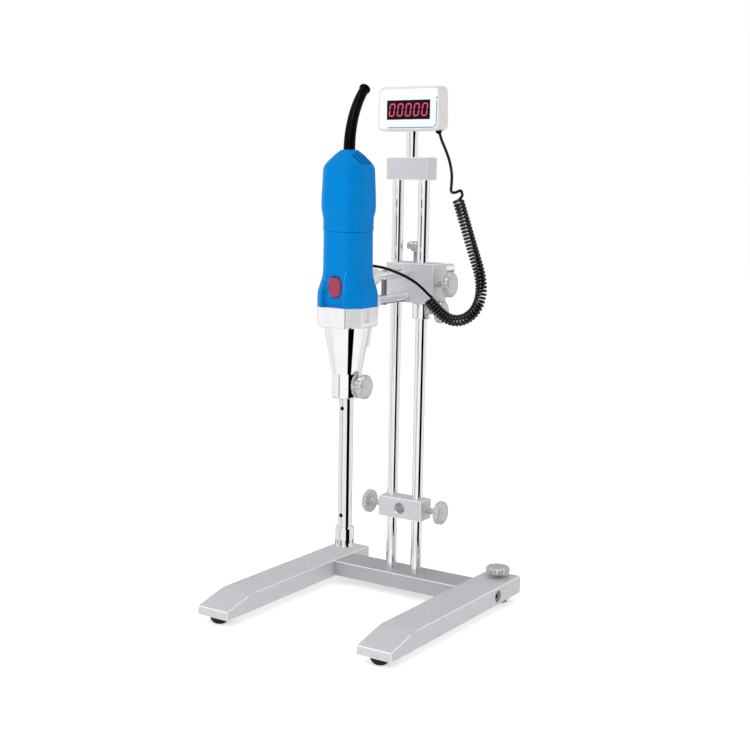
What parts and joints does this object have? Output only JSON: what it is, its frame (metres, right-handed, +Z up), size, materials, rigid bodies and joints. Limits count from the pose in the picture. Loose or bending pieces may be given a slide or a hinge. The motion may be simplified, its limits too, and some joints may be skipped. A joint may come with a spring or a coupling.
{
  "type": "rotor stator homogenizer",
  "caption": "Bench rotor stator homogenizer: a motor head with a stator tube on a sliding arm, a two column stand with clamping knobs, a U shaped base and a digital speed display.",
  "frame": {"origin": "on the bench under the middle of the part's outline without its free cord", "axes": "+Z up, -Y to the front where the motor head hangs, +X to the right"},
  "size_m": [0.276, 0.355, 0.6385],
  "materials": {
    "frame_aluminium": "sand blasted, clear anodised",
    "column_chrome": "ground and mirror chromed",
    "arm_steel": "ground bright",
    "knob_metal": "turned, fine grained",
    "polished_cone": "mirror polished",
    "die_cast": "bright die casting",
    "stator_steel": "polished stainless",
    "fastener_steel": "plain",
    "blue_housing": "satin moulding",
    "switch_red": "fine texture",
    "black_rubber": "matt",
    "cord_black": "glossy sheath",
    "display_white": "satin moulding",
    "window_glass": "dark tinted",
    "digit_module": "dark face",
    "board_green": "lacquered",
    "bearing_steel": "plain",
    "bush_polymer": "plain",
    "winding_steel": "laminated",
    "commutator_copper": "turned",
    "inner_plastic": "plain"
  },
  "bodies": {
    "stand": {"left_leg": "frame_aluminium", "right_leg": "frame_aluminium", "cross_beam": "frame_aluminium", "beam_bolts": "fastener_steel", "column_bolts": "fastener_steel", "rubber_feet": "black_rubber", "levelling_foot": "black_rubber", "left_column": "column_chrome", "right_column": "column_chrome", "top_bridge": "frame_aluminium", "bridge_grub_screws": "fastener_steel", "display_rod": "column_chrome", "display_case": "display_white", "display_rear_cover": "display_white", "display_screws": "fastener_steel", "display_window": "window_glass", "display_board": "board_green", "display_digits": "digit_module", "display_gland": "black_rubber", "cord_upper_lead": "cord_black"},
    "levelling_screw": {"levelling_knob": "knob_metal"},
    "carriage": {"slide_block": "frame_aluminium", "cord_coil": "cord_black"},
    "carriage_knob": {"block_knob": "knob_metal"},
    "arm_lock": {"arm_lock_knob": "knob_metal"},
    "stop_ring": {"stop_collar": "column_chrome"},
    "stop_ring_knob": {"stop_collar_knob": "knob_metal"},
    "vessel_clamp": {"clamp_block": "frame_aluminium"},
    "vessel_clamp_left_knob": {"clamp_left_knob": "knob_metal"},
    "vessel_clamp_right_knob": {"clamp_right_knob": "knob_metal"},
    "head": {"upper_arm_rod": "arm_steel", "lower_arm_rod": "arm_steel", "arm_tie_pin": "fastener_steel", "motor_bracket": "die_cast", "bracket_screws": "fastener_steel", "motor_housing": "blue_housing", "motor_rear_cover": "blue_housing", "housing_screws": "fastener_steel", "gear_case": "die_cast", "adapter_cone": "polished_cone", "stator_tube": "stator_steel", "stator_head": "stator_steel", "tube_bushings": "bush_polymer", "field_stator": "winding_steel", "spindle_bearings": "bearing_steel", "brush_gear": "inner_plastic", "speed_sensor": "inner_plastic", "switch_body": "inner_plastic", "cord_guard": "black_rubber", "signal_gland": "black_rubber", "cord_lower_lead": "cord_black"},
    "cone_screw": {"cone_thumb_screw": "knob_metal"},
    "drive": {"rotor": "stator_steel", "drive_shaft": "stator_steel", "shaft_coupling": "bearing_steel", "armature": "winding_steel", "commutator": "commutator_copper", "cooling_fan": "inner_plastic"},
    "switch": {"switch_rocker": "switch_red"}
  },
  "joints": [
    {"name": "head_lift", "type": "slide", "parent": "stand", "child": "carriage", "axis": [0, 0, 1], "range_m": [0, 0.068]},
    {"name": "arm_reach", "type": "slide", "parent": "carriage", "child": "head", "axis": [0, 1, 0], "range_m": [-0.055, 0.025]},
    {"name": "stop_ring_slide", "type": "slide", "parent": "stand", "child": "stop_ring", "axis": [0, 0, 1], "range_m": [-0.2, 0]},
    {"name": "vessel_clamp_slide", "type": "slide", "parent": "stand", "child": "vessel_clamp", "axis": [0, 0, 1], "range_m": [-0.05, 0.1]},
    {"name": "levelling_turn", "type": "hinge", "parent": "stand", "child": "levelling_screw", "pos_m": [0.115, 0.1135, 0.032], "axis": [0, 0, 1], "range_deg": [0, 720]},
    {"name": "carriage_knob_turn", "type": "hinge", "parent": "carriage", "child": "carriage_knob", "pos_m": [0.0395, 0.0715, 0.4022], "axis": [1, 0, 0], "range_deg": [0, 720]},
    {"name": "arm_lock_turn", "type": "hinge", "parent": "carriage", "child": "arm_lock", "pos_m": [0, 0.0875, 0.4264], "axis": [0, 0, 1], "range_deg": [0, 720]},
    {"name": "stop_ring_knob_turn", "type": "hinge", "parent": "stop_ring", "child": "stop_ring_knob", "pos_m": [0.0298, 0.0715, 0.3681], "axis": [1, 0, 0], "range_deg": [0, 720]},
    {"name": "vessel_clamp_left_turn", "type": "hinge", "parent": "vessel_clamp", "child": "vessel_clamp_left_knob", "pos_m": [-0.0318, 0.0715, 0.11415], "axis": [-1, 0, 0], "range_deg": [0, 720]},
    {"name": "vessel_clamp_right_turn", "type": "hinge", "parent": "vessel_clamp", "child": "vessel_clamp_right_knob", "pos_m": [0.0318, 0.0715, 0.11415], "axis": [1, 0, 0], "range_deg": [0, 720]},
    {"name": "cone_screw_turn", "type": "hinge", "parent": "head", "child": "cone_screw", "pos_m": [0.0175, -0.066, 0.29], "axis": [1, 0, 0], "range_deg": [0, 720]},
    {"name": "drive_spin", "type": "hinge", "parent": "head", "child": "drive", "pos_m": [0, -0.066, 0.3], "axis": [0, 0, 1], "continuous": true},
    {"name": "switch_rock", "type": "hinge", "parent": "head", "child": "switch", "pos_m": [0, -0.0867, 0.4065], "axis": [1, 0, 0], "range_deg": [-10, 0]}
  ]
}
